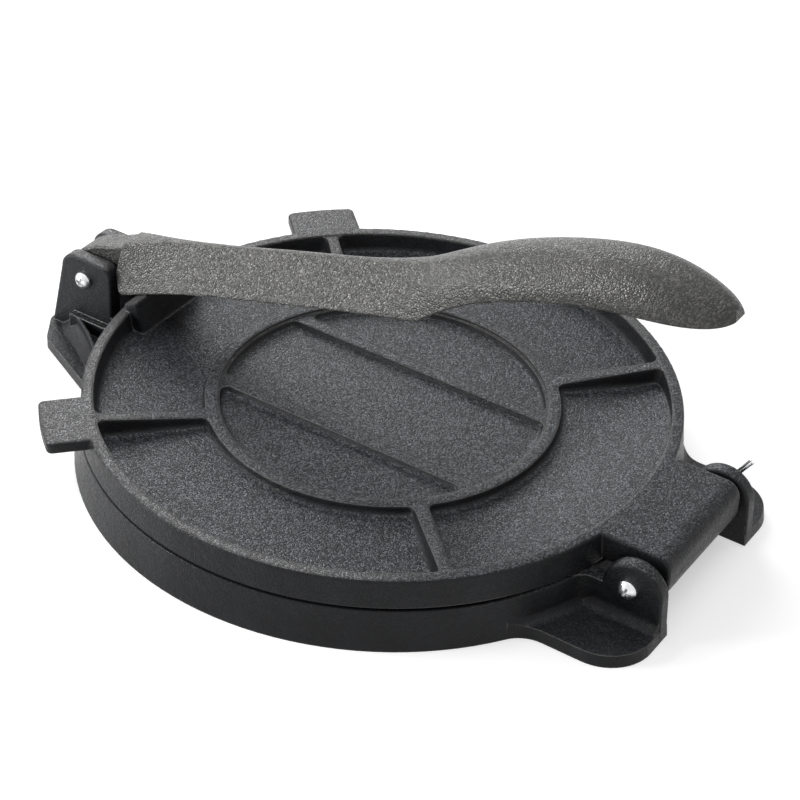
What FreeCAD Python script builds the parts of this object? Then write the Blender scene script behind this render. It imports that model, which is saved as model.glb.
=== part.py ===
import FreeCAD, Part
import math
import os

V = FreeCAD.Vector

# Cast iron tortilla press, 8 inch size. All lengths in mm, all angles in degrees.
# The dimensions are measured from the centre of the round base, on the surface that
# the press stands on. +X points to the hinge, -X to the lever's ears, +Z up.
# The finished pieces are moved so that the middle of the footprint is at the origin.

# Base plate: a round casting with a smooth working face on top
base_foot_radius = 105.2
base_wall_taper = 2.2
base_height = 15.2
base_edge_round = 0.9
base_skin = 4.8
base_rim_width = 6.0
base_ring_radius = 60.0
base_ring_height = 6.0
base_cross_rib_height = 4.6

# Upper plate: a round casting, open on top, with a rim, a ring and ribs
lid_wall_taper = 1.0
lid_thickness = 10.1
lid_rim_width = 3.9
lid_recess_depth = 6.9
lid_edge_round = 0.7
plate_gap = 0.2
lid_lift_deg = 0.2
ring_radius = 60.0
ring_width = 3.4
ring_drop = 3.8
cross_rib_drop = 4.9
rib_outer_drop = 0.5
rib_width = 3.5
cross_rib_width = 3.2
cross_rib_spacing = 46.2
wall_draft = 1.2
floor_round = 1.8
corner_round = 2.6
base_rib_angles_deg = (45, 135, 225, 315)
lid_rib_angles_deg = (45, 135, 226.5, 315)

# Ramp: the floor of the upper plate rises from the ring to the hinge tongue
ramp_offset = 1.0
ramp_ease = 14.0

# Tabs on the upper plate
tab_angles_deg = (135.7, 226.9)
tab_width = 25.0
tab_length = 12.6
tab_thickness = 4.2
tab_corner = 2.2
tab_bow = 0.8
tab_edge_round = 0.8

# Pressure boss on the upper plate's front rim, under the lever
boss_inset = 2.6
boss_thickness = 5.8
boss_half_width = 16.4
boss_rise = 5.3
boss_slope = 2.9
boss_crown = 0.3
boss_foot_spread = 3.2
boss_edge_round = 0.9

# Hinge: two ears on the base, the tongue of the upper plate between them
hinge_reach = 8.8
barrel_radius = 9.8
barrel_cover = 0.0575
tongue_half_width = 24.6
tongue_clearance = 2.7
tongue_top_round = 5.6
tongue_edge_round = 0.9
cheek_width = 8.6
tongue_skin = 4.2
tongue_lip_wall = 4.2
tongue_lip_drop = 3.0
tongue_core_length = 6.5
core_round = 2.4
ear_head_shift = 1.2
ear_head_drop = 1.5
ear_thickness = 5.4
ear_radius = 10.7
ear_back_lean = 1.0
ear_edge_round = 1.0
web_blend = 5.0
web_drop = 0.3

# Feet beside the hinge ears
hinge_foot_reach = 54.2
hinge_foot_height = 4.3
hinge_foot_corner = 16.0
hinge_foot_blend = 12.0
foot_draft = 0.5
cove_radius = 3.6

# Lever ears and their feet at the front of the base
pivot_reach = 16.0
pivot_rise = 0.8425
lever_ear_gap = 12.0
lever_ear_thickness = 5.7
lever_ear_back_reach = 4.0
lever_ear_rise = 8.4
lever_ear_top_corner = 6.2
lever_ear_back_corner = 4.5
lever_ear_front_reach = 32.6
lever_ear_front_lean = 7.3
lever_foot_height = 4.2
lever_foot_reach = 22.6
lever_foot_corner_reach = 25.5
lever_foot_disc_inset = 7.0
lever_foot_disc_y = 38.5
lever_foot_round = 5.0
ledge_width = 2.8
ledge_drop = 3.2
ledge_reach = 21.3

# Webs beside the lever's ears: places as (distance in front of the disc, y)
gusset_drop = 3.4
gusset_waist_height_share = 0.475
gusset_waist_share = 0.4
gusset_edge_round = 0.8
gusset_ridge = ((24.4, 9.0), (20.8, 13.1), (15.6, 16.3), (8.3, 20.8), (-1.0, 28.3), (-8.2, 34.4))
gusset_foot = ((29.0, 9.0), (25.2, 16.6), (16.4, 21.4), (8.4, 26.0), (0.8, 31.0), (-8.2, 36.6))
gusset_pocket = ((15.5, 14.6), (-5.2, 14.6), (-5.2, 30.4), (-1.0, 26.7), (3.7, 22.6), (8.3, 19.1),
                 (12.4, 16.6))
gusset_pocket_depth = 5.0

# Lever: a hub between the ears, a tapered neck and a rounded grip
lever_angle_deg = 18.0
hub_radius = 9.8
hub_side_clearance = 0.35
hub_crest_start = 3.2
hub_crest_rise = 0.9
hub_valley_drop = 0.9
hub_edge_round = 1.0
shoulder_start = 13.4
shoulder_bend_height = 2.0
shoulder_lean = 3.9
shoulder_overlap = 8.0
shoulder_foot_round = 2.0

# Sections of the lever: distance from the pivot, underside, top, half width of the
# underside, half width of the top, crown of the top, then how full the side bulges
neck_section_sizes = (
    (13.4, -5.7, 11.5, 10.4, 6.1, 0.3),
    (22.8, -5.0, 12.1, 10.4, 4.2, 0.3),
    (33.8, -4.2, 12.1, 10.3, 2.3, 0.2),
    (50.8, -3.6, 11.5, 10.2, 1.2, 0.2),
    (72.8, -4.0, 10.9, 10.2, 1.0, 0.2),
    (95.8, -4.5, 10.6, 10.3, 1.0, 0.2),
    (120.8, -5.1, 9.9, 10.6, 1.3, 0.3),
    (134.8, -5.7, 10.1, 10.9, 1.9, 0.4),
    (144.8, -6.0, 10.8, 11.3, 2.6, 0.5),
)
neck_full_shares = (0.0, 0.0, 0.0, 0.0, 0.0, 0.02, 0.08, 0.2, 0.32)
grip_section_sizes = (
    (144.8, -6.0, 10.8, 11.3, 2.6, 0.5),
    (152.8, -2.4, 12.3, 12.0, 3.4, 0.6),
    (164.8, 1.8, 15.1, 13.0, 4.4, 0.8),
    (180.8, 4.9, 17.9, 13.9, 5.0, 1.0),
    (198.8, 6.1, 19.3, 14.3, 5.2, 1.1),
    (214.8, 5.5, 19.1, 14.3, 5.2, 1.1),
    (228.8, 3.1, 17.1, 13.8, 5.0, 1.1),
    (240.8, 0.3, 12.9, 12.2, 4.4, 1.0),
    (249.3, -1.5, 8.1, 9.4, 3.4, 0.9),
    (254.4, -2.1, 4.3, 6.2, 2.2, 0.6),
    (257.0, -1.9, 1.3, 3.0, 1.1, 0.3),
)
grip_full_shares = (0.32, 0.5, 0.72, 0.88, 0.95, 1.0, 1.0, 1.0, 1.0, 1.0, 1.0)
side_curve_shares = (0.0, 0.25, 0.5, 0.75, 1.0)

# Pins: pan head screws with a cross hole and a split pin at the far end
pin_radius = 1.75
ear_bore_clearance = 0.04
moving_bore_clearance = 0.08
head_radius = 3.3
head_height = 2.8
head_rim_height = 1.0
pin_end_beyond_ear = 5.2
pin_end_chamfer = 0.4
recess_width = 0.9
recess_reach = 3.5
recess_depth = 1.3
recess_turn_deg = 20.0
split_hole_radius = 1.02
split_hole_from_end = 2.6
split_wire_radius = 0.45
split_leg_gap = 0.06
split_eye_radius = 1.5
split_leg_length = 13.8
split_eye_offset = 3.6
split_splay = 0.12
split_splay_start_share = 0.72
split_hinge_angle_deg = 57.0
split_lever_angle_deg = -62.0

# Cutters run past the metal by this much
overrun = 30.0

# Two places this near each other count as one
nearness = 0.0001

base_top_radius = base_foot_radius - base_wall_taper
lid_foot_radius = base_top_radius
lid_top_radius = lid_foot_radius - lid_wall_taper
base_inner_radius = base_top_radius - base_rim_width
hinge_x = base_foot_radius + hinge_reach
ear_head_x = hinge_x + ear_head_shift
ear_back_foot = ear_head_x + ear_radius + ear_back_lean
pivot_x = -base_foot_radius - pivot_reach
lever_ear_back = -base_foot_radius - lever_ear_back_reach
lever_ear_front_foot = -base_foot_radius - lever_ear_front_reach
ledge_front = -base_foot_radius - ledge_reach
boss_front = boss_inset - lid_top_radius
boss_back = boss_front + boss_thickness

lid_underside = (base_height + plate_gap
                 + (hinge_x + lid_foot_radius) * math.tan(math.radians(lid_lift_deg)))
lid_top = lid_underside + lid_thickness
lid_floor = lid_top - lid_recess_depth
ring_top = lid_top - ring_drop
hinge_z = lid_top - barrel_cover - barrel_radius
ear_head_z = hinge_z - ear_head_drop
web_top = base_height - web_drop
ear_inner = tongue_half_width + tongue_clearance
ear_outer = ear_inner + ear_thickness
base_recess_depth = base_height - base_skin
pivot_z = lid_top + pivot_rise
lever_ear_top = pivot_z + lever_ear_rise
lever_ear_inner = lever_ear_gap / 2
lever_ear_outer = lever_ear_inner + lever_ear_thickness
ledge_height = base_height - ledge_drop
gusset_height = base_height - gusset_drop
gusset_waist_height = gusset_height * gusset_waist_height_share
ear_bore_radius = pin_radius + ear_bore_clearance
moving_bore_radius = pin_radius + moving_bore_clearance


def polygon(points):
    """Closed flat wire through the points."""
    return Part.makePolygon(list(points) + [points[0]])


def prism(points, direction):
    """Solid made by pushing a flat outline along a vector."""
    return Part.Face(polygon(points)).extrude(direction)


def across(outline, low, high):
    """Solid from an outline of (x, z) places, between two values of y."""
    return prism([V(x, low, z) for x, z in outline], V(0, high - low, 0))


def box(low, high):
    """Box between two opposite corners."""
    return Part.makeBox(high[0] - low[0], high[1] - low[1], high[2] - low[2], V(*low))


def turned(shape, angle):
    """Copy of a shape turned about the upright axis."""
    copy = shape.copy()
    copy.rotate(V(0, 0, 0), V(0, 0, 1), angle)
    return copy


def both_sides(shape):
    """A shape and its mirror image in the plane y = 0."""
    return [shape, shape.mirror(V(0, 0, 0), V(0, 1, 0))]


def rod(x, z, radius, low, high):
    """Round bar along Y between two values of y."""
    return Part.makeCylinder(radius, high - low, V(x, low, z), V(0, 1, 0))


def turned_body(profile):
    """Solid of revolution about the upright axis, from (radius, z) places."""
    face = Part.Face(polygon([V(r, 0, z) for r, z in profile]))
    return face.revolve(V(0, 0, 0), V(0, 0, 1), 360)


def round_edges(shape, radius, wanted):
    """Fillet the edges for which wanted(edge) is true."""
    edges = [edge for edge in shape.Edges if wanted(edge)]
    return shape.makeFillet(radius, edges)


def near(first, second):
    """True when two lengths are the same but for rounding."""
    return abs(first - second) < nearness


def flat_at(level):
    """Test for edges that lie wholly at one height."""
    return lambda edge: near(edge.BoundBox.ZMin, level) and near(edge.BoundBox.ZMax, level)


def upright(edge):
    """Test for straight edges that stand upright."""
    return near(edge.BoundBox.XLength, 0) and near(edge.BoundBox.YLength, 0)


def in_sides(low, high, wanted):
    """Test for edges in one of two planes across Y for which wanted(bounds) is true too."""
    def test(edge):
        bounds = edge.BoundBox
        level = near(bounds.YLength, 0) and (near(bounds.YMin, low) or near(bounds.YMin, high))
        return level and wanted(bounds)

    return test


def frustum(low, high):
    """Solid with flat sides between two outlines whose edges run parallel."""
    faces = [Part.Face(polygon(low)), Part.Face(polygon(high))]
    for first in range(len(low)):
        second = (first + 1) % len(low)
        faces.append(Part.Face(polygon([low[first], low[second], high[second], high[first]])))
    return Part.makeSolid(Part.makeShell(faces))


def wedge(half_rib, first, last, level):
    """Corners of the space between two radial ribs, angles in degrees."""
    middle = math.radians(first + last) / 2
    half_span = math.radians(last - first) / 2
    far = 2 * base_foot_radius
    near = half_rib / math.sin(half_span)
    swing = half_span - math.asin(half_rib / far)
    return [V(near * math.cos(middle), near * math.sin(middle), level),
            V(far * math.cos(middle - swing), far * math.sin(middle - swing), level),
            V(far * math.cos(middle + swing), far * math.sin(middle + swing), level)]


def rounded_pocket(body, floor):
    """Cutter with its upright corners and its floor edge rounded."""
    def corner(edge):
        closed = near(edge.Vertexes[0].Point.distanceToPoint(edge.Vertexes[-1].Point), 0)
        return edge.BoundBox.ZLength > nearness and not closed

    body = round_edges(body, corner_round, corner)
    return round_edges(body, floor_round, flat_at(floor))


def sector_pocket(inner, outer, rib, first, last, floor, mouth, draft):
    """Cutter for one pocket between two ribs, wider at its mouth."""
    ring = turned_body([(inner + draft, floor), (outer - draft, floor), (outer, mouth),
                        (inner, mouth)])
    space = frustum(wedge(rib / 2 + draft, first, last, floor),
                    wedge(rib / 2, first, last, mouth))
    return rounded_pocket(ring.common(space), floor)


def pockets_between(angles, inner, outer, floor, mouth):
    """Cutters for all pockets between the radial ribs."""
    followers = angles[1:] + (angles[0] + 360,)
    return [sector_pocket(inner, outer, rib_width, first, last, floor, mouth, wall_draft)
            for first, last in zip(angles, followers)]


def centre_pockets(radius, floor, mouth):
    """Cutters for the three pockets inside the ring, beside two parallel ribs."""
    draft = wall_draft
    disc = turned_body([(0, floor), (radius - draft, floor), (radius, mouth), (0, mouth)])
    far = 2 * radius
    inner = (cross_rib_spacing - cross_rib_width) / 2
    outer = (cross_rib_spacing + cross_rib_width) / 2

    def strip(low_y, high_y, level):
        return [V(-far, low_y, level), V(far, low_y, level), V(far, high_y, level),
                V(-far, high_y, level)]

    middle = frustum(strip(draft - inner, inner - draft, floor), strip(-inner, inner, mouth))
    side = frustum(strip(outer + draft, far, floor), strip(outer, far, mouth))
    cutters = [rounded_pocket(disc.common(middle), floor)]
    return cutters + both_sides(rounded_pocket(disc.common(side), floor))


def base_disc():
    """Round body of the base with its ribbed underside."""
    disc = Part.makeCone(base_foot_radius, base_top_radius, base_height)
    disc = round_edges(disc, base_edge_round, flat_at(base_height))
    outer = base_foot_radius - base_rim_width
    centre = base_ring_radius - ring_width
    cutters = pockets_between(base_rib_angles_deg, base_ring_radius, outer, -base_recess_depth, 0)
    cutters += centre_pockets(centre, -base_recess_depth, 0)
    upward = [cutter.mirror(V(0, 0, 0), V(0, 0, 1)) for cutter in cutters]
    ring_relief = base_recess_depth - base_ring_height
    rib_relief = base_recess_depth - base_cross_rib_height
    air = turned_body([(0, 0), (outer, 0), (base_ring_radius, ring_relief), (0, ring_relief)])
    centre_air = Part.makeCylinder(centre, rib_relief)
    return disc.cut(upward + [air, centre_air])


def blend_arc(radius, reach, blend, level):
    """Concave arc, seen from above, from a circle about the origin to the line y = reach."""
    centre_y = reach + blend
    centre_x = math.sqrt((radius + blend) ** 2 - centre_y ** 2)
    centre = V(centre_x, centre_y, level)
    touch = V(centre_x, centre_y, 0) * (radius / (radius + blend)) + V(0, 0, level)
    leave = V(centre_x, reach, level)
    towards = (touch + leave) * 0.5 - centre
    return touch, centre + towards.normalize() * blend, leave


def hinge_ear():
    """One hinge ear at the side of +Y."""
    front = ear_head_x - ear_radius / 2
    outline = [(front, 0), (front, ear_head_z), (ear_head_x + ear_radius, ear_head_z),
               (ear_back_foot, 0)]
    plate = across(outline, ear_inner, ear_outer)
    head = rod(ear_head_x, ear_head_z, ear_radius, ear_inner, ear_outer)
    ear = plate.fuse(head).removeSplitter()

    def outer(bounds):
        return bounds.ZMax > ear_head_z + nearness or bounds.XMin > ear_head_x

    return round_edges(ear, ear_edge_round, in_sides(ear_inner, ear_outer, outer))


def hinge_web_wire(level, radius):
    """Outline at one height of the web from the disc to a hinge ear, on the side of +Y."""
    touch, middle, leave = blend_arc(radius, ear_outer, web_blend, level)
    inside = touch * (base_inner_radius / radius)
    inside.z = level
    corners = [leave, V(ear_head_x, ear_outer, level), V(ear_head_x, ear_inner, level),
               V(inside.x, ear_inner, level), inside, touch]
    lines = [Part.makeLine(first, second) for first, second in zip(corners, corners[1:])]
    return Part.Wire([Part.Arc(touch, middle, leave).toShape()] + lines)


def hinge_web():
    """Web from the disc to a hinge ear, almost flush with the disc's top."""
    top_radius = base_foot_radius - base_wall_taper * web_top / base_height
    return Part.makeLoft([hinge_web_wire(0, base_foot_radius),
                          hinge_web_wire(web_top, top_radius)], True, True)


def hinge_foot_wire(level, inset):
    """Outline of the foot beside a hinge ear, on the side of +Y."""
    radius = base_foot_radius - inset
    reach = hinge_foot_reach - inset
    back = ear_back_foot - inset
    touch, middle, leave = blend_arc(radius, reach, hinge_foot_blend, level)
    corner = V(back - hinge_foot_corner, reach - hinge_foot_corner, level)
    turn = math.radians(45)
    bulge = corner + V(hinge_foot_corner * math.cos(turn), hinge_foot_corner * math.sin(turn), 0)
    inside = touch * (base_inner_radius / radius)
    inside.z = level
    return Part.Wire([
        Part.makeLine(inside, touch),
        Part.Arc(touch, middle, leave).toShape(),
        Part.makeLine(leave, V(corner.x, reach, level)),
        Part.Arc(V(corner.x, reach, level), bulge, V(back, corner.y, level)).toShape(),
        Part.makeLine(V(back, corner.y, level), V(back, ear_inner, level)),
        Part.makeLine(V(back, ear_inner, level), V(inside.x, ear_inner, level)),
        Part.makeLine(V(inside.x, ear_inner, level), inside),
    ])


def hinge_foot():
    """Flat foot beside a hinge ear, on the side of +Y."""
    return Part.makeLoft([hinge_foot_wire(0, 0),
                          hinge_foot_wire(hinge_foot_height, foot_draft)], True, True)


def cove_face(wall, place):
    """Section of a cove between an upright wall and a foot; place(distance, height) maps it."""
    low = hinge_foot_height
    top = low + cove_radius
    dip = cove_radius * (1 - math.sqrt(0.5))
    start, end = place(wall + cove_radius, low), place(wall, top)
    middle = place(wall + dip, low + dip)
    back_top, back_low = place(wall - base_rim_width, top), place(wall - base_rim_width, low)
    return Part.Face(Part.Wire([Part.Arc(start, middle, end).toShape(),
                                Part.makeLine(end, back_top), Part.makeLine(back_top, back_low),
                                Part.makeLine(back_low, start)]))


def hinge_foot_coves():
    """Coves where a hinge foot meets the disc and the ear, on the side of +Y."""
    slope = base_wall_taper / base_height
    wall = base_foot_radius - slope * (hinge_foot_height + cove_radius)
    disc_cove = cove_face(wall, lambda out, level: V(out, 0, level))
    disc_cove = disc_cove.revolve(V(0, 0, 0), V(0, 0, 1), 90)
    ear_cove = cove_face(ear_outer, lambda out, level: V(0, out, level))
    ear_cove = ear_cove.extrude(V(ear_back_foot - ear_back_lean, 0, 0))
    room = Part.Face(hinge_foot_wire(0, foot_draft)).extrude(V(0, 0, base_height))
    return [cove.common(room) for cove in (disc_cove, ear_cove)]


def lever_ear():
    """One lever ear at the side of +Y."""
    lean = lever_ear_front_lean / lever_ear_top
    corner = lever_ear_top_corner
    front_top = lever_ear_front_foot + lean * (lever_ear_top - corner)
    plate = across([(lever_ear_front_foot, 0), (front_top, lever_ear_top - corner),
                    (front_top + corner, lever_ear_top), (lever_ear_back, lever_ear_top),
                    (lever_ear_back, base_height), (-base_inner_radius, base_height),
                    (-base_inner_radius, 0)],
                   lever_ear_inner, lever_ear_outer)
    round_head = rod(front_top + corner, lever_ear_top - corner, corner,
                     lever_ear_inner, lever_ear_outer)
    ear = plate.fuse(round_head).removeSplitter()

    def back_top(edge):
        bounds = edge.BoundBox
        return near(bounds.XMin, lever_ear_back) and near(bounds.ZMin, lever_ear_top)

    def outer(bounds):
        return bounds.ZMax > lever_foot_height and bounds.XMax < lever_ear_back + nearness

    ear = round_edges(ear, lever_ear_back_corner, back_top)
    return round_edges(ear, ear_edge_round, in_sides(lever_ear_inner, lever_ear_outer, outer))


def lever_foot_plate():
    """Foot under both lever ears, joined to the disc."""
    corner_x = -base_foot_radius - lever_foot_corner_reach
    disc_x = lever_foot_disc_inset - base_foot_radius
    outline = [(lever_ear_front_foot, lever_ear_outer), (corner_x, lever_foot_reach),
               (disc_x, lever_foot_disc_y)]
    inside = -base_inner_radius
    points = ([V(x, -y, 0) for x, y in outline] + [V(inside, -lever_foot_disc_y, 0)]
              + [V(inside, lever_foot_disc_y, 0)] + [V(x, y, 0) for x, y in reversed(outline)])
    plate = prism(points, V(0, 0, lever_foot_height))

    def corners(edge):
        return upright(edge) and edge.BoundBox.XMin < corner_x + nearness

    return round_edges(plate, lever_foot_round, corners)


def gusset_wire(places, level):
    """Outline of the web between a lever ear and the disc, on the side of +Y."""
    curve = Part.BSplineCurve()
    points = [V(-base_foot_radius - reach, y, level) for reach, y in places]
    curve.interpolate(points)
    inner = (lever_ear_inner + lever_ear_outer) / 2
    end_in = V(points[-1].x, inner, level)
    start_in = V(points[0].x, inner, level)
    return Part.Wire([curve.toShape(), Part.makeLine(points[-1], end_in),
                      Part.makeLine(end_in, start_in), Part.makeLine(start_in, points[0])])


def gusset():
    """Curved web from a lever ear to the disc, hollowed out in its top."""
    share = gusset_waist_share
    waist = [(low[0] * share + high[0] * (1 - share), low[1] * share + high[1] * (1 - share))
             for low, high in zip(gusset_foot, gusset_ridge)]
    lower = Part.makeLoft([gusset_wire(gusset_foot, 0),
                           gusset_wire(gusset_foot, lever_foot_height / 2),
                           gusset_wire(waist, gusset_waist_height),
                           gusset_wire(gusset_ridge, gusset_height)], True, False)
    floor = gusset_height - gusset_pocket_depth
    hollow = prism([V(-base_foot_radius - reach, y, floor) for reach, y in gusset_pocket],
                   V(0, 0, base_height))

    def ridge(edge):
        straight = near(edge.BoundBox.XLength, 0) or near(edge.BoundBox.YLength, 0)
        return flat_at(gusset_height)(edge) and not straight

    return round_edges(lower, gusset_edge_round, ridge).cut(hollow)


def ear_ledge():
    """Thicker lower part of a lever ear, ending in a narrow ledge."""
    return box((ledge_front, lever_ear_inner, 0),
               (-base_inner_radius, lever_ear_outer + ledge_width, ledge_height))


def lower_plate():
    """Base casting: disc, hinge ears with feet, lever ears with feet and gussets."""
    pieces = []
    for piece in [hinge_ear(), hinge_web(), hinge_foot(), lever_ear(), gusset(),
                  ear_ledge()] + hinge_foot_coves():
        pieces += both_sides(piece)
    pieces.append(lever_foot_plate())
    inner_wall = Part.makeCylinder(base_inner_radius, base_height + lever_ear_top)
    pieces = [piece.cut(inner_wall) for piece in pieces]
    casting = base_disc().fuse(pieces).removeSplitter()
    bores = [rod(hinge_x, hinge_z, ear_bore_radius, -ear_outer - overrun, ear_outer + overrun),
             rod(pivot_x, pivot_z, ear_bore_radius, -lever_ear_outer - overrun,
                 lever_ear_outer + overrun)]
    return casting.cut(bores)


def ramp():
    """Smooth rise of the upper plate's floor to the tongue."""
    curve = Part.BezierCurve()
    start = V(ring_radius + ramp_offset, -lid_top_radius, lid_floor)
    end = V(lid_foot_radius, -lid_top_radius, lid_top)
    ease = V(ramp_ease, 0, 0)
    curve.setPoles([start, start + ease, end - ease, end])
    under = V(0, 0, -lid_recess_depth)
    outline = Part.Wire([curve.toShape(), Part.makeLine(end, V(end.x, end.y, start.z) + under),
                         Part.makeLine(V(end.x, end.y, start.z) + under, start + under),
                         Part.makeLine(start + under, start)])
    return Part.Face(outline).extrude(V(0, 2 * lid_top_radius, 0))


def lid_dish():
    """Round body of the upper plate with its ring, ribs and rising floor."""
    dish = Part.makeCone(lid_foot_radius, lid_top_radius, lid_thickness, V(0, 0, lid_underside))
    dish = round_edges(dish, lid_edge_round, flat_at(lid_top))
    rim_inner = lid_top_radius - lid_rim_width
    centre = ring_radius - ring_width
    cutters = pockets_between(lid_rib_angles_deg, ring_radius, rim_inner, lid_floor, lid_top)
    cutters[-1] = cutters[-1].cut(ramp())
    cutters += centre_pockets(centre, lid_floor, lid_top)
    above = lid_top + lid_thickness
    air = turned_body([(0, above), (rim_inner, above), (rim_inner, lid_top - rib_outer_drop),
                       (ring_radius, ring_top), (0, ring_top)])
    centre_air = Part.makeCylinder(centre, lid_thickness, V(0, 0, lid_top - cross_rib_drop))
    return dish.cut(cutters + [air.cut(ramp()), centre_air])


def tab():
    """Lifting tab of the upper plate, pointing along +X."""
    half = tab_width / 2
    low = lid_top - tab_thickness
    reach = lid_foot_radius + tab_length
    inner = lid_top_radius - lid_rim_width / 2
    start = V(reach, -half, low)
    end = V(reach, half, low)
    outline = Part.Wire([
        Part.makeLine(V(inner, -half, low), start),
        Part.Arc(start, V(reach + tab_bow, 0, low), end).toShape(),
        Part.makeLine(end, V(inner, half, low)),
        Part.makeLine(V(inner, half, low), V(inner, -half, low)),
    ])
    body = Part.Face(outline).extrude(V(0, 0, tab_thickness))

    def outer_corners(edge):
        return upright(edge) and edge.BoundBox.XMin > lid_foot_radius

    def rims(edge):
        return near(edge.BoundBox.ZLength, 0) and edge.BoundBox.XMax > lid_foot_radius

    body = round_edges(body, tab_corner, outer_corners)
    return round_edges(body, tab_edge_round, rims)


def boss():
    """Pressure boss across the front rim, with a crowned, sloping top."""
    low = lid_floor - floor_round / 2
    peak = lid_top + boss_rise
    outline = Part.Wire([
        Part.makeLine(V(boss_front, 0, low), V(boss_front, 0, peak - boss_slope)),
        Part.Arc(V(boss_front, 0, peak - boss_slope),
                 V((boss_front + boss_back) / 2, 0, peak - boss_slope / 2 + boss_crown / 2),
                 V(boss_back, 0, peak)).toShape(),
        Part.makeLine(V(boss_back, 0, peak), V(boss_back + boss_foot_spread, 0, low)),
        Part.makeLine(V(boss_back + boss_foot_spread, 0, low), V(boss_front, 0, low)),
    ])
    body = Part.Face(outline).extrude(V(0, 2 * boss_half_width, 0))
    body.translate(V(0, -boss_half_width, 0))

    def top(edge):
        return edge.BoundBox.ZMax > lid_top

    return round_edges(body, boss_edge_round, top)


def tongue():
    """Hinge tongue of the upper plate: skin, round back edge and two cheeks."""
    half = tongue_half_width
    barrel = rod(hinge_x, hinge_z, barrel_radius, -half, half)
    back = hinge_x + barrel_radius
    inside = lid_top_radius - lid_rim_width
    bridge = across([(inside, lid_underside), (hinge_x, lid_underside), (hinge_x, hinge_z),
                     (back, hinge_z), (back, lid_top), (inside, lid_top)], -half, half)
    body = barrel.fuse(bridge).removeSplitter()

    def back_top(edge):
        return flat_at(lid_top)(edge) and edge.BoundBox.XMin > hinge_x

    def cheek_outline(bounds):
        return bounds.XMax > lid_foot_radius

    body = round_edges(body, tongue_top_round, back_top)
    body = round_edges(body, tongue_edge_round, in_sides(-half, half, cheek_outline))
    inside = half - cheek_width
    core = box((hinge_x - tongue_core_length, -inside, 0),
               (hinge_x + barrel_radius - tongue_lip_wall, inside, lid_top - tongue_skin))
    core = round_edges(core, core_round, flat_at(lid_top - tongue_skin))
    under = box((0, -inside, 0), (hinge_x + overrun, inside, hinge_z - tongue_lip_drop))
    return body.cut([core, under])


def upper_plate():
    """Lid casting: dish, tabs, pressure boss and hinge tongue."""
    tabs = [turned(tab(), angle) for angle in tab_angles_deg]
    casting = lid_dish().fuse(tabs + [boss(), tongue()]).removeSplitter()
    bore = rod(hinge_x, hinge_z, moving_bore_radius, -ear_outer - overrun, ear_outer + overrun)
    casting = casting.cut(bore)
    casting.rotate(V(hinge_x, 0, hinge_z), V(0, 1, 0), -lid_lift_deg)
    return casting


def lever_section(sizes, full):
    """Closed section of the lever across its length, from its sizes at one place."""
    along, low, high, half_low, half_high, crown = sizes

    def side_place(share, side):
        flat_y = half_low + (half_high - half_low) * share
        flat_z = low + (high - low) * share
        swing = share * math.asin(min(1, (high - low) / (high + crown - low)))
        round_y = half_low * math.cos(swing) if half_high < half_low else flat_y
        end_y = half_low * math.cos(math.asin(min(1, (high - low) / (high + crown - low))))
        round_y = round_y + (half_high - end_y) * share
        round_z = low + (high + crown - low) * math.sin(swing)
        y = flat_y + (round_y - flat_y) * full
        z = flat_z + (round_z - flat_z) * full
        return V(along, side * y, z)

    def side(direction):
        curve = Part.BSplineCurve()
        places = [side_place(share, direction) for share in side_curve_shares]
        curve.interpolate(places if direction > 0 else places[::-1])
        return curve.toShape()

    right = side(1)
    left = side(-1)
    top = Part.Arc(V(along, half_high, high), V(along, 0, high + crown),
                   V(along, -half_high, high)).toShape()
    bottom = Part.makeLine(V(along, -half_low, low), V(along, half_low, low))
    return Part.Wire([bottom, right, top, left])


def lever():
    """Lever: hub, neck and grip, built along X and then tilted about the pivot."""
    neck = Part.makeLoft([lever_section(sizes, full) for sizes, full
                          in zip(neck_section_sizes, neck_full_shares)], True, False)
    grip = Part.makeLoft([lever_section(sizes, full) for sizes, full
                          in zip(grip_section_sizes, grip_full_shares)], True, False)
    top = neck_section_sizes[0][2]
    lean = V(shoulder_lean, 0, top - shoulder_bend_height)
    bend = V(shoulder_start, -overrun, shoulder_bend_height)
    corner = bend + lean * 2
    shoulder_cut = prism([bend, corner, V(bend.x, bend.y, corner.z)], V(0, 2 * overrun, 0))

    def foot(edge):
        bounds = edge.BoundBox
        return near(bounds.XMax, shoulder_start) and near(bounds.ZLength, 0) and bounds.ZMin < 0

    neck = round_edges(neck.cut(shoulder_cut), shoulder_foot_round, foot)
    hub_half = lever_ear_inner - hub_side_clearance
    joint = shoulder_start + shoulder_overlap
    hub = rod(0, 0, hub_radius, -hub_half, hub_half)
    link = across([(0, neck_section_sizes[0][1]), (joint, neck_section_sizes[1][1]), (joint, top),
                   (shoulder_start, top - hub_valley_drop),
                   (hub_crest_start, hub_radius + hub_crest_rise), (0, hub_radius)],
                  -hub_half, hub_half)
    hub = hub.fuse(link).removeSplitter()

    def rim(bounds):
        return bounds.XMax < joint - nearness

    hub = round_edges(hub, hub_edge_round, in_sides(-hub_half, hub_half, rim))
    limit = Part.makeLoft([lever_section(sizes, full) for sizes, full
                           in zip(neck_section_sizes[:2], neck_full_shares[:2])], True, True)
    free = box((-overrun, -overrun, -overrun), (shoulder_start, overrun, overrun))
    hub = hub.common(free.fuse(limit))
    body = hub.fuse([neck, grip]).removeSplitter()
    bore = rod(0, 0, moving_bore_radius, -overrun, overrun)
    body = body.cut(bore)
    body.rotate(V(0, 0, 0), V(0, 1, 0), -lever_angle_deg)
    body.translate(V(pivot_x, 0, pivot_z))
    return body


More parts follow.
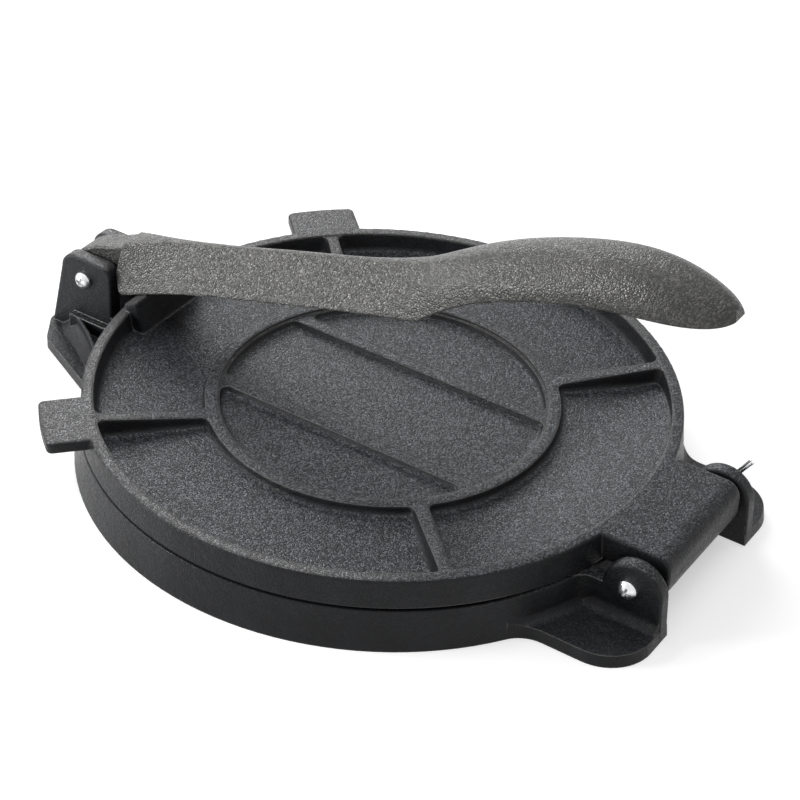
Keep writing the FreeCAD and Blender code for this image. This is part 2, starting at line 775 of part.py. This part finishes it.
def pan_head_pin(outer, x, z, split_angle):
    """Pan head screw through a pair of ears, head on the side of -Y."""
    end = outer + pin_end_beyond_ear
    shank = rod(x, z, pin_radius, -outer, end)
    shank = shank.makeChamfer(pin_end_chamfer,
                              [edge for edge in shank.Edges if near(edge.BoundBox.YMin, end)])
    rim = rod(x, z, head_radius, -outer - head_rim_height, -outer)
    dome_height = head_height - head_rim_height
    ball_radius = (head_radius ** 2 + dome_height ** 2) / (2 * dome_height)
    ball = Part.makeSphere(ball_radius, V(x, -outer - head_height + ball_radius, z))
    slab = rod(x, z, head_radius, -outer - head_height, -outer - head_rim_height)
    head = rim.fuse(ball.common(slab))
    slots = []
    for turn in (0, 90):
        slot = box((x - recess_reach / 2, -outer - head_height, z - recess_width / 2),
                   (x + recess_reach / 2, -outer - head_height + recess_depth, z + recess_width / 2))
        slot.rotate(V(x, 0, z), V(0, 1, 0), turn + recess_turn_deg)
        slots.append(slot)
    direction = V(math.cos(math.radians(split_angle)), 0, math.sin(math.radians(split_angle)))
    hole = Part.makeCylinder(split_hole_radius, 2 * overrun,
                             V(x, end - split_hole_from_end, z) - direction * overrun, direction)
    return head.cut(slots).fuse(shank).cut(hole).removeSplitter()


def bar(start, end, radius):
    """Round wire between two places, with a ball at its far end."""
    run = end - start
    return [Part.makeCylinder(radius, run.Length, start, run), Part.makeSphere(radius, end)]


def split_pin(outer, x, z, split_angle):
    """Split pin through the end of a screw: an eye and two legs that part a little."""
    offset = split_wire_radius + split_leg_gap / 2
    bend = split_leg_length * split_splay_start_share
    eye = Part.makeTorus(split_eye_radius, split_wire_radius, V(-split_eye_offset, 0, 0), V(0, 1, 0))
    start = math.sqrt(split_eye_radius ** 2 - offset ** 2) - split_eye_offset
    pieces = []
    for side in (1, -1):
        heel = V(start, 0, side * offset)
        knee = V(bend, 0, side * offset)
        toe = V(split_leg_length, 0, side * (offset + split_splay))
        pieces += bar(heel, knee, split_wire_radius) + bar(knee, toe, split_wire_radius)
    body = eye.fuse(pieces).removeSplitter()
    body.rotate(V(0, 0, 0), V(0, 1, 0), -split_angle)
    body.translate(V(x, outer + pin_end_beyond_ear - split_hole_from_end, z))
    return body


def write(name, shape):
    """Move one piece to the middle of the footprint, save it and say what it measures."""
    shape.translate(V(-(lever_ear_front_foot + ear_back_foot) / 2, 0, 0))
    shape.exportStep(os.path.join("parts", name + ".step"))
    bounds = shape.BoundBox
    print(name, "solids", len(shape.Solids), "valid", shape.isValid(),
          "volume", round(shape.Volume, 1), "size", round(bounds.XLength, 1),
          round(bounds.YLength, 1), round(bounds.ZLength, 1))


os.makedirs("parts", exist_ok=True)
write("lower_plate", lower_plate())
write("upper_plate", upper_plate())
write("lever", lever())
write("hinge_screw", pan_head_pin(ear_outer, hinge_x, hinge_z, split_hinge_angle_deg))
write("lever_screw", pan_head_pin(lever_ear_outer, pivot_x, pivot_z, split_lever_angle_deg))
write("hinge_split_pin", split_pin(ear_outer, hinge_x, hinge_z, split_hinge_angle_deg))
write("lever_split_pin", split_pin(lever_ear_outer, pivot_x, pivot_z, split_lever_angle_deg))
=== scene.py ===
"""A cast iron tortilla press on a pale studio floor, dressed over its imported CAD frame."""
import logging
import math
from dataclasses import dataclass
from enum import Enum
from typing import Any, Optional, Union

import bmesh
import bpy
from mathutils import Matrix, Vector

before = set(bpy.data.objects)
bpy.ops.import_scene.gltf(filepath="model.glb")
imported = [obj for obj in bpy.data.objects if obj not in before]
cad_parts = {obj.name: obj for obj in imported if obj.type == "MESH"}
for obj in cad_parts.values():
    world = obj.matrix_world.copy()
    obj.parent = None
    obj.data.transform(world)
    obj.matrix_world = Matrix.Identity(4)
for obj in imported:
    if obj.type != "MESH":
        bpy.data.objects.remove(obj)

log = logging.getLogger("tortilla_press")

Colour = tuple[float, float, float, float]
Span = tuple[float, float]
Number = Union[int, float]
Key = Union[str, int]

WHITE: Colour = (1.0, 1.0, 1.0, 1.0)
MEAN_SHADE = 0.5
BEVEL_SAMPLES = 6


class Operation(Enum):
    """Names of the Math node operations that the finishes use."""

    ADD = "ADD"
    SUBTRACT = "SUBTRACT"
    MULTIPLY = "MULTIPLY"
    MINIMUM = "MINIMUM"
    POWER = "POWER"
    ABSOLUTE = "ABSOLUTE"


class Axis(Enum):
    """The axes of the press that the finishes read."""

    LENGTH = "X"
    HEIGHT = "Z"


class MixKind(Enum):
    """What a Mix node mixes: its data type, its first input and its output."""

    COLOUR = ("RGBA", 6, 2)
    DIRECTION = ("VECTOR", 4, 1)


class LampKind(Enum):
    """The two kinds of lamp in the studio."""

    SOFTBOX = "AREA"
    SKYLIGHT = "SUN"


@dataclass(frozen=True)
class Wire:
    """A shader socket that can be used in a Python expression.

    Args:
        bench: The node bench that owns the socket.
        socket: The output socket that carries the value.
    """

    bench: "NodeBench"
    socket: bpy.types.NodeSocket

    def _math(self, operation: Operation, first: Any, second: Any) -> "Wire":
        """Add one Math node for a pair of values."""
        return self.bench.math(operation, first, second)

    def __add__(self, other: Union["Wire", Number]) -> "Wire":
        """Return the sum."""
        return self._math(Operation.ADD, self, other)

    def __radd__(self, other: Number) -> "Wire":
        """Return the sum with a number on the left."""
        return self._math(Operation.ADD, other, self)

    def __sub__(self, other: Union["Wire", Number]) -> "Wire":
        """Return the difference."""
        return self._math(Operation.SUBTRACT, self, other)

    def __rsub__(self, other: Number) -> "Wire":
        """Return the difference from a number on the left."""
        return self._math(Operation.SUBTRACT, other, self)

    def __mul__(self, other: Union["Wire", Number]) -> "Wire":
        """Return the product."""
        return self._math(Operation.MULTIPLY, self, other)

    def __rmul__(self, other: Number) -> "Wire":
        """Return the product with a number on the left."""
        return self._math(Operation.MULTIPLY, other, self)

    def __abs__(self) -> "Wire":
        """Return the value without its sign."""
        return self._math(Operation.ABSOLUTE, self, 0.0)

    def raised(self, power: Number) -> "Wire":
        """Return the value raised to a power."""
        return self._math(Operation.POWER, self, power)

    def at_most(self, high: Number) -> "Wire":
        """Return the smaller of the value and a number."""
        return self._math(Operation.MINIMUM, self, high)


class NodeBench:
    """Makes one material, or the world, out of nodes."""

    def __init__(self, owner: Union[bpy.types.Material, bpy.types.World]) -> None:
        """Switch the owner's nodes on and empty its tree.

        Args:
            owner: The material or world that gets the nodes.
        """
        owner.use_nodes = True
        self.tree = owner.node_tree
        self.tree.nodes.clear()

    def node(self, kind: str, settings: dict[str, Any], sockets: dict[Key, Any]) -> bpy.types.Node:
        """Add a node, set it up and feed its sockets.

        Args:
            kind: The node's type, such as "ShaderNodeTexNoise".
            settings: Attributes that are set first.
            sockets: Values or wires, by the input's name or number.

        Returns:
            The new node.
        """
        made = self.tree.nodes.new(kind)
        for name, value in settings.items():
            setattr(made, name, value)
        for key, value in sockets.items():
            target = made.inputs[key]
            if isinstance(value, Wire):
                self.tree.links.new(value.socket, target)
            else:
                target.default_value = value
        return made

    def wire(self, kind: str, output: Key, settings: dict[str, Any],
             sockets: dict[Key, Any]) -> Wire:
        """Add a node and return one of its outputs.

        Args:
            kind: The node's type.
            output: The output's name or number.
            settings: Attributes that are set first.
            sockets: Values or wires, by the input's name or number.

        Returns:
            The output as a wire.
        """
        return Wire(self, self.node(kind, settings, sockets).outputs[output])

    def math(self, operation: Operation, first: Any, second: Any) -> Wire:
        """Add a Math node.

        Args:
            operation: What it does with its two values.
            first: A number or a wire.
            second: A number or a wire.

        Returns:
            The result.
        """
        return self.wire("ShaderNodeMath", "Value", {"operation": operation.value},
                         {0: first, 1: second})

    def place(self) -> Wire:
        """Return the coordinates that ride with a piece."""
        return self.wire("ShaderNodeTexCoord", "Object", {}, {})

    def along(self, axis: Axis, vector: Wire) -> Wire:
        """Return how far a vector goes along an axis."""
        return self.wire("ShaderNodeSeparateXYZ", axis.value, {}, {"Vector": vector})

    def ramp(self, value: Wire, span: Span) -> Wire:
        """Turn a value into a clamped share.

        Args:
            value: The value to read.
            span: Where the share is 0 and where it is 1.

        Returns:
            The share, eased at both ends.
        """
        low, high = span
        return self.wire("ShaderNodeMapRange", "Result", {"interpolation_type": "SMOOTHSTEP"},
                         {"Value": value, "From Min": low, "From Max": high})

    def blend(self, share: Wire, first: Any, second: Any,
              kind: MixKind = MixKind.COLOUR) -> Wire:
        """Mix two colours or two directions.

        Args:
            share: How much of the second one shows.
            first: A colour, or a wire.
            second: A colour, or a wire.
            kind: What is mixed.

        Returns:
            The mix.
        """
        data_type, slot, output = kind.value
        return self.wire("ShaderNodeMix", output, {"data_type": data_type},
                         {0: share, slot: first, slot + 1: second})

    def blend_shaders(self, share: Wire, first: Wire, second: Wire) -> Wire:
        """Show the first shader where the share is 0, and the second where it is 1."""
        return self.wire("ShaderNodeMixShader", "Shader", {}, {0: share, 1: first, 2: second})

    def noise(self, place: Wire, size: float, detail: float) -> Wire:
        """Add a cloud of noise.

        Args:
            place: The coordinates it reads.
            size: The size of a lump in metres.
            detail: How many finer layers it has.

        Returns:
            The noise, about 0 to 1.
        """
        return self.wire("ShaderNodeTexNoise", "Fac", {"noise_dimensions": "3D"},
                         {"Vector": place, "Scale": 1.0 / size, "Detail": detail})

    def grains(self, place: Wire, size: float) -> tuple[Wire, Wire]:
        """Pack sand grains side by side.

        Args:
            place: The coordinates they lie in.
            size: The size of a grain in metres.

        Returns:
            A shade from 0 to 1 for each grain, and the distance from its middle.
        """
        cells = self.node("ShaderNodeTexVoronoi", {"voronoi_dimensions": "3D"},
                          {"Vector": place, "Scale": 1.0 / size})
        shade = self.wire("ShaderNodeSeparateColor", "Red", {},
                          {"Color": Wire(self, cells.outputs["Color"])})
        return shade, Wire(self, cells.outputs["Distance"])

    def softened(self, radius: float) -> Wire:
        """Return the normal with the edges rounded to a radius in metres."""
        return self.wire("ShaderNodeBevel", "Normal", {"samples": BEVEL_SAMPLES},
                         {"Radius": radius})


@dataclass(frozen=True)
class SeamShade:
    """A dark band painted along the seam round the closed plates: painted shade in the gap between
    them.

    Args:
        painted_shade: The dark colour painted into the seam as shade.
        cover: How much of the skin it hides.
        middle: The middle of the plates along the press, in metres.
        hinge: The hinge's place along the press, in metres.
        height: The seam's height at the hinge, in metres.
        slope: How fast the seam rises away from the hinge.
        edge: The distances from its middle over which it fades, in metres.
        inner: The distances from the plates' middle over which it starts, in metres.
        outer: The distances from the plates' middle over which it stops, in metres.
        end: The places along the press between which it ends at the hinge, in metres.
    """

    painted_shade: Colour = (0.006, 0.0064, 0.0074, 1.0)
    cover: float = 0.9
    middle: float = 0.00545
    hinge: float = 0.11945
    height: float = 0.0153
    slope: float = 0.00175
    edge: Span = (0.00045, 0.00085)
    inner: Span = (0.0995, 0.1012)
    outer: Span = (0.104, 0.1055)
    end: Span = (0.085, 0.1)

    def over(self, bench: NodeBench, skin: Wire, place: Wire) -> Wire:
        """Lay the painted seam shade over a skin.

        Args:
            bench: The bench of the material.
            skin: The shader of the skin.
            place: The coordinates it reads.

        Returns:
            The shader with the seam in it.
        """
        # Painted shade: a dark diffuse colour mixed over the skin along the seam.
        painted_shade = bench.wire("ShaderNodeBsdfDiffuse", "BSDF", {}, {"Color": self.painted_shade})
        return bench.blend_shaders(self._share(bench, place) * self.cover, skin, painted_shade)

    def _share(self, bench: NodeBench, place: Wire) -> Wire:
        """Find the seam.

        Args:
            bench: The bench of the material.
            place: The coordinates it reads.

        Returns:
            A share that is 1 in the seam and 0 elsewhere.
        """
        lengthways = bench.along(Axis.LENGTH, place)
        flat = bench.wire("ShaderNodeVectorMath", "Vector", {"operation": "MULTIPLY_ADD"},
                          {0: place, 1: (1.0, 1.0, 0.0), 2: (-self.middle, 0.0, 0.0)})
        reach = bench.wire("ShaderNodeVectorMath", "Value", {"operation": "LENGTH"}, {0: flat})
        rise = self.height + (self.hinge - lengthways) * self.slope
        near = 1.0 - bench.ramp(abs(bench.along(Axis.HEIGHT, place) - rise), self.edge)
        on_rim = bench.ramp(reach, self.inner) * (1.0 - bench.ramp(reach, self.outer))
        return near * on_rim * (1.0 - bench.ramp(lengthways, self.end))


@dataclass(frozen=True)
class SandCasting:
    """Oiled, black sand cast iron.

    Args:
        name: The material's name.
        tone: The colour of the plain skin.
        bloom: The paler colour that lies in clouds over it.
        painted_glint: The colour painted on the grains that catch the light, a painted highlight.
        worn: The colour of the rubbed edges and tops.
        roughness: How matt the plain skin is.
        sparseness: How rare the brightest grains are.
        grain: The size of a sand grain's mark, in metres.
        grain_depth: How deep those marks are, in metres.
        swell: The size of the slow waves of the skin, in metres.
        edge: The radius of the softened edges, in metres.
        wear_reach: How far the wear spreads from an edge, in metres.
        wear: How much of the worn colour the edges show.
        wall_glint: How much of the painted glint the walls show; level tops show all of it.
        gloss: The index of refraction of the oiled skin.
        rubbed: How much of the worn colour the raised metal shows.
        rub: The heights between which raised metal gets rubbed, in metres.
        unrubbed: The places along the press between which the rubbing ends, in metres.
        seam: The painted shade along the seam that crosses the casting, where it has one.
        swell_depth: How deep the slow waves are, in metres.
        cloud: How many slow waves wide a cloud is.
        cloud_span: The noise between which the clouds set in.
        low: The heights between which the painted glint fades in, in metres; below them the feet
            get painted shade.
        low_glint: How much of the painted glint shows below them.
        soft_above: The heights between which the edges turn soft, in metres.
        edge_turn: How far the normal turns between plain skin and a worn edge.
        level: How upright the normal is between walls and level tops.
        grain_matt: How much the roughness changes from grain to grain.
        cloud_matt: How much it changes from cloud to cloud.
        worn_polish: How much smoother the worn places are.
        worn_sheen: How metallic the worn places look.
        grain_sheen: How metallic the brightest grains look.
    """

    name: str
    tone: Colour
    bloom: Colour
    painted_glint: Colour
    worn: Colour
    roughness: float
    sparseness: float
    grain: float
    grain_depth: float
    swell: float
    edge: float
    wear_reach: float
    wear: float
    wall_glint: float
    gloss: float
    rubbed: float = 0.0
    rub: Span = (0.0225, 0.0252)
    unrubbed: Span = (0.045, 0.085)
    seam: Optional[SeamShade] = None
    swell_depth: float = 0.00022
    cloud: float = 4.0
    cloud_span: Span = (0.35, 0.7)
    low: Span = (0.006, 0.014)
    low_glint: float = 0.35
    soft_above: Span = (0.0165, 0.0185)
    edge_turn: Span = (0.02, 0.22)
    level: Span = (0.62, 0.98)
    grain_matt: float = 0.2
    cloud_matt: float = 0.12
    worn_polish: float = 0.08
    worn_sheen: float = 0.6
    grain_sheen: float = 0.3

    def material(self) -> bpy.types.Material:
        """Build the finish.

        Returns:
            The new material.
        """
        made = bpy.data.materials.new(self.name)
        bench = NodeBench(made)
        place = bench.place()
        height = bench.along(Axis.HEIGHT, place)
        sand, hollows = bench.grains(place, self.grain)
        clouds = bench.noise(place, self.swell * self.cloud, detail=2.0)
        waves = bench.noise(place, self.swell, detail=1.0)
        crisp, soft = bench.softened(self.wear_reach), bench.softened(self.edge)
        upward = self._upward_share(bench)

        worn = self._worn_share(bench, place, crisp, upward)
        # Painted highlight by facing: level tops show the whole painted glint, walls only a part,
        # as if lit from above.
        glint_by_facing = upward * (1.0 - self.wall_glint) + self.wall_glint
        # Painted shade near the table: the painted glint fades on the low feet.
        lit = bench.ramp(height, self.low) * (1.0 - self.low_glint) + self.low_glint
        # Painted highlight: the brightest sand grains are painted in the paler glint colour.
        glint_share = sand.raised(self.sparseness) * glint_by_facing * lit
        tone = bench.blend(bench.ramp(clouds, self.cloud_span), self.tone, self.bloom)
        # Colour: the painted glints over the clouded tone, then the worn colour over both.
        colour = bench.blend(worn, bench.blend(glint_share, tone, self.painted_glint), self.worn)
        roughness = (self.roughness + (MEAN_SHADE - sand) * self.grain_matt
                     + (clouds - MEAN_SHADE) * self.cloud_matt - worn * self.worn_polish)
        metallic = (worn * self.worn_sheen + glint_share * self.grain_sheen).at_most(1.0)

        rounded = bench.blend(bench.ramp(height, self.soft_above), crisp, soft, MixKind.DIRECTION)
        relief = waves * self.swell_depth - hollows * self.grain_depth
        bump = bench.wire("ShaderNodeBump", "Normal", {},
                          {"Strength": 1.0, "Distance": 1.0, "Height": relief,
                           "Normal": rounded})
        skin = bench.wire("ShaderNodeBsdfPrincipled", "BSDF", {},
                          {"Base Color": colour, "Roughness": roughness, "Metallic": metallic,
                           "IOR": self.gloss, "Normal": bump})
        # Painted shade along the plates' seam, where the casting has one.
        seen = self.seam.over(bench, skin, place) if self.seam else skin
        bench.node("ShaderNodeOutputMaterial", {}, {"Surface": seen})
        return made

    def _worn_share(self, bench: NodeBench, place: Wire, crisp: Wire, upward: Wire) -> Wire:
        """Find the worn edges and the rubbed tops.

        At an edge the softened normal leaves the true one.

        Args:
            bench: The bench of the material.
            place: The coordinates it reads.
            crisp: The normal with the edges rounded a little.
            upward: A share that is 1 on level tops.

        Returns:
            A share that is 0 on plain skin and rises with the wear.
        """
        true = bench.wire("ShaderNodeNewGeometry", "Normal", {}, {})
        match = bench.wire("ShaderNodeVectorMath", "Value", {"operation": "DOT_PRODUCT"},
                           {0: crisp, 1: true})
        worn = bench.ramp(1.0 - match, self.edge_turn) * self.wear
        if self.rubbed:
            high = bench.ramp(bench.along(Axis.HEIGHT, place), self.rub)
            beyond = bench.ramp(bench.along(Axis.LENGTH, place), self.unrubbed)
            worn = worn + high * (1.0 - beyond) * upward * self.rubbed
        return worn.at_most(1.0)

    def _upward_share(self, bench: NodeBench) -> Wire:
        """Find the skin that faces up on the press at rest.

        Args:
            bench: The bench of the material.

        Returns:
            A share that is 0 on walls and rises to 1 on level tops and floors.
        """
        facing = bench.wire("ShaderNodeTexCoord", "Normal", {}, {})
        return bench.ramp(bench.along(Axis.HEIGHT, facing), self.level)


@dataclass(frozen=True)
class ZincPlate:
    """Bright zinc plating on a steel screw or pin.

    Args:
        name: The material's name.
        tone: The colour of the plating.
        dull: The colour of its duller patches.
        roughness: How matt the plating is.
        dull_matt: How much more matt the duller patches are.
        patch: The size of the duller patches, in metres.
        patch_span: The noise between which the patches set in.
        dent: The size of the plating's fine dents, in metres.
        dent_depth: How deep the dents are, in metres.
        dent_strength: How much of the dents the shading shows.
    """

    name: str
    tone: Colour
    dull: Colour
    roughness: float
    dull_matt: float = 0.12
    patch: float = 0.002
    patch_span: Span = (0.4, 0.7)
    dent: float = 0.0004
    dent_depth: float = 0.00003
    dent_strength: float = 0.35

    def material(self) -> bpy.types.Material:
        """Build the finish.

        Returns:
            The new material.
        """
        made = bpy.data.materials.new(self.name)
        bench = NodeBench(made)
        place = bench.place()
        patches = bench.ramp(bench.noise(place, self.patch, detail=2.0), self.patch_span)
        dents = bench.noise(place, self.dent, detail=1.0) * self.dent_depth
        bump = bench.wire("ShaderNodeBump", "Normal", {},
                          {"Strength": self.dent_strength, "Distance": 1.0, "Height": dents})
        metal = bench.wire("ShaderNodeBsdfPrincipled", "BSDF", {},
                           {"Base Color": bench.blend(patches, self.tone, self.dull),
                            "Roughness": self.roughness + patches * self.dull_matt,
                            "Metallic": 1.0, "Normal": bump})
        bench.node("ShaderNodeOutputMaterial", {}, {"Surface": metal})
        return made


def dress(names: tuple[str, ...], material: bpy.types.Material) -> None:
    """Give CAD nodes one finish.

    Args:
        names: The nodes' names.
        material: The finish.
    """
    for name in names:
        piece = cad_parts[name]
        piece.data.materials.clear()
        piece.data.materials.append(material)
        log.info("dressed %s in %s", name, material.name)


@dataclass
class Castings:
    """The three castings: base plate, upper plate and lever.

    Args:
        plates: Nodes that share the plates' finish.
        lever: Nodes that have the lever's finish.
        plate_finish: The finish of the plates.
        lever_finish: The finish of the lever.
    """

    plates: tuple[str, ...] = ("lower_plate", "upper_plate")
    lever: tuple[str, ...] = ("lever",)
    plate_finish: SandCasting = SandCasting(
        name="oiled cast iron", tone=(0.006, 0.0064, 0.0074, 1.0),
        bloom=(0.011, 0.0117, 0.0135, 1.0), painted_glint=(0.115, 0.121, 0.133, 1.0),
        worn=(0.25, 0.242, 0.228, 1.0), roughness=0.37, sparseness=2.4,
        grain=0.00048, grain_depth=0.00012, swell=0.003, edge=0.0018, wear_reach=0.0008,
        wear=0.5, wall_glint=0.1, gloss=1.28, rubbed=0.16, seam=SeamShade())
    lever_finish: SandCasting = SandCasting(
        name="oiled cast iron of the lever", tone=(0.010, 0.0098, 0.0094, 1.0),
        bloom=(0.018, 0.0176, 0.0169, 1.0), painted_glint=(0.108, 0.105, 0.100, 1.0),
        worn=(0.26, 0.25, 0.23, 1.0), roughness=0.36, sparseness=2.0,
        grain=0.00062, grain_depth=0.00021, swell=0.002, edge=0.001, wear_reach=0.0009,
        wear=0.4, wall_glint=0.95, gloss=1.5)

    def build(self) -> None:
        """Dress the castings."""
        dress(self.plates, self.plate_finish.material())
        dress(self.lever, self.lever_finish.material())


@dataclass
class Pins:
    """The two screws and their split pins.

    Args:
        nodes: The nodes of all four.
        finish: Their plating.
    """

    nodes: tuple[str, ...] = ("hinge_screw", "lever_screw", "hinge_split_pin", "lever_split_pin")
    finish: ZincPlate = ZincPlate(name="bright zinc plating", tone=(0.78, 0.79, 0.80, 1.0),
                                  dull=(0.60, 0.61, 0.62, 1.0), roughness=0.24)

    def build(self) -> None:
        """Dress the screws and the split pins."""
        dress(self.nodes, self.finish.material())


def put(name: str, data: Any) -> bpy.types.Object:
    """Put a new object into the scene.

    Args:
        name: The object's name.
        data: Its mesh, lamp or camera.

    Returns:
        The new object.
    """
    made = bpy.data.objects.new(name, data)
    bpy.context.scene.collection.objects.link(made)
    log.info("put in %s", name)
    return made


@dataclass(frozen=True)
class Lamp:
    """One soft lamp.

    Args:
        name: The lamp's name.
        kind: A softbox near the press or a skylight over the whole floor.
        place: Where it hangs, in metres.
        aim: The point that it faces, in metres.
        spread: The side of a softbox in metres, or a skylight's width in degrees.
        power: A softbox's watts, or a skylight's watts per square metre.
    """

    name: str
    kind: LampKind
    place: tuple[float, float, float]
    aim: tuple[float, float, float]
    spread: float
    power: float

    def build(self) -> None:
        """Hang the lamp."""
        data = bpy.data.lights.new(self.name, self.kind.value)
        if self.kind is LampKind.SOFTBOX:
            data.shape = "SQUARE"
            data.size = self.spread
        else:
            data.angle = math.radians(self.spread)
        data.energy = self.power
        direction = Vector(self.aim) - Vector(self.place)
        put(self.name, data).matrix_world = (
            Matrix.Translation(self.place)
            @ direction.to_track_quat("-Z", "Y").to_matrix().to_4x4())


@dataclass
class Studio:
    """Floor, light and camera.

    Args:
        floor_side: The side of the square floor, in metres.
        floor_tone: The colour of the floor.
        floor_glow: How bright the floor looks of itself to the camera.
        ambience: The strength of the light from all round.
        azimuth: The camera's direction round the press, in degrees.
        elevation: The camera's height over the horizon, in degrees.
        roll: How far the camera is turned about its line of sight, in degrees.
        camera_place: Where the camera stands, in metres.
        focal_length: The lens's focal length, in millimetres.
        sensor_width: The width of the camera's sensor, in millimetres.
        nearest: The shortest distance at which the camera sees, in metres.
        lamps: The soft lamps.
    """

    floor_side: float = 40.0
    floor_tone: Colour = (0.80, 0.80, 0.80, 1.0)
    floor_glow: float = 0.5
    ambience: float = 0.22
    azimuth: float = 31.43
    elevation: float = 35.98
    roll: float = 3.26
    camera_place: tuple[float, float, float] = (0.34909, -0.55134, 0.49228)
    focal_length: float = 105.91
    sensor_width: float = 36.0
    nearest: float = 0.01
    lamps: tuple[Lamp, ...] = (
        Lamp("back softbox", LampKind.SOFTBOX, (-1.1, 0.98, 0.9), (0.0, 0.0, 0.02), 0.8, 12.5),
        Lamp("front softbox", LampKind.SOFTBOX, (-1.25, -0.9, 0.46), (0.0, 0.0, 0.04), 0.7, 25.0),
        Lamp("skylight", LampKind.SKYLIGHT, (0.0, 0.0, 2.0), (0.0, 0.0, 0.0), 50.0, 0.9),
    )

    def build(self) -> None:
        """Set up everything around the press."""
        self._lay_floor()
        self._light_world()
        for lamp in self.lamps:
            lamp.build()
        self._stand_camera()
        bpy.context.scene.view_settings.view_transform = "Standard"

    def _lay_floor(self) -> None:
        """Lay the floor: pale, with a glow that doesn't light the press."""
        mesh = bpy.data.meshes.new("studio floor")
        sheet = bmesh.new()
        bmesh.ops.create_grid(sheet, x_segments=1, y_segments=1, size=self.floor_side / 2)
        sheet.to_mesh(mesh)
        sheet.free()
        made = bpy.data.materials.new("pale floor")
        bench = NodeBench(made)
        paper = bench.wire("ShaderNodeBsdfDiffuse", "BSDF", {}, {"Color": self.floor_tone})
        glow = bench.wire("ShaderNodeEmission", "Emission", {},
                          {"Color": WHITE, "Strength": self.floor_glow})
        both = bench.wire("ShaderNodeAddShader", "Shader", {}, {0: paper, 1: glow})
        lit = bench.blend_shaders(self._seen_share(bench), paper, both)
        bench.node("ShaderNodeOutputMaterial", {}, {"Surface": lit})
        mesh.materials.append(made)
        put("studio floor", mesh)

    @staticmethod
    def _seen_share(bench: NodeBench) -> Wire:
        """Tell what is seen from what only lights the press.

        Args:
            bench: The bench of the floor or the world.

        Returns:
            1 for what is seen straight, in a reflection or through glass, and 0 otherwise.
        """
        path = bench.node("ShaderNodeLightPath", {}, {})
        straight, glossy, through = (Wire(bench, path.outputs[name]) for name in
                                     ("Is Camera Ray", "Is Glossy Ray", "Is Transmission Ray"))
        return (straight + glossy + through).at_most(1.0)

    def _light_world(self) -> None:
        """Light the press from all round, and show a white backdrop."""
        world = bpy.data.worlds.new("studio")
        bpy.context.scene.world = world
        bench = NodeBench(world)
        light, backdrop = (bench.wire("ShaderNodeBackground", "Background", {},
                                      {"Color": WHITE, "Strength": strength})
                           for strength in (self.ambience, 1.0))
        sky = bench.blend_shaders(self._seen_share(bench), light, backdrop)
        bench.node("ShaderNodeOutputWorld", {}, {"Surface": sky})

    def _stand_camera(self) -> None:
        """Stand the camera where the photograph was taken from."""
        azimuth, elevation, roll = (math.radians(angle) for angle in
                                    (self.azimuth, self.elevation, self.roll))
        back = Vector((math.sin(azimuth) * math.cos(elevation),
                       -math.cos(azimuth) * math.cos(elevation), math.sin(elevation)))
        level = Vector((math.cos(azimuth), math.sin(azimuth), 0.0))
        rise = back.cross(level)
        right = level * math.cos(roll) + rise * math.sin(roll)
        up = rise * math.cos(roll) - level * math.sin(roll)
        data = bpy.data.cameras.new("camera")
        data.sensor_width = self.sensor_width
        data.lens = self.focal_length
        data.clip_start = self.nearest
        camera = put("camera", data)
        turn = Matrix((right, up, back)).transposed()
        camera.matrix_world = Matrix.Translation(self.camera_place) @ turn.to_4x4()
        bpy.context.scene.camera = camera


def main() -> None:
    """Dress the press and set up the studio."""
    logging.basicConfig(level=logging.INFO, format="%(message)s")
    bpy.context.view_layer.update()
    Castings().build()
    Pins().build()
    Studio().build()


if __name__ == "__main__":
    main()
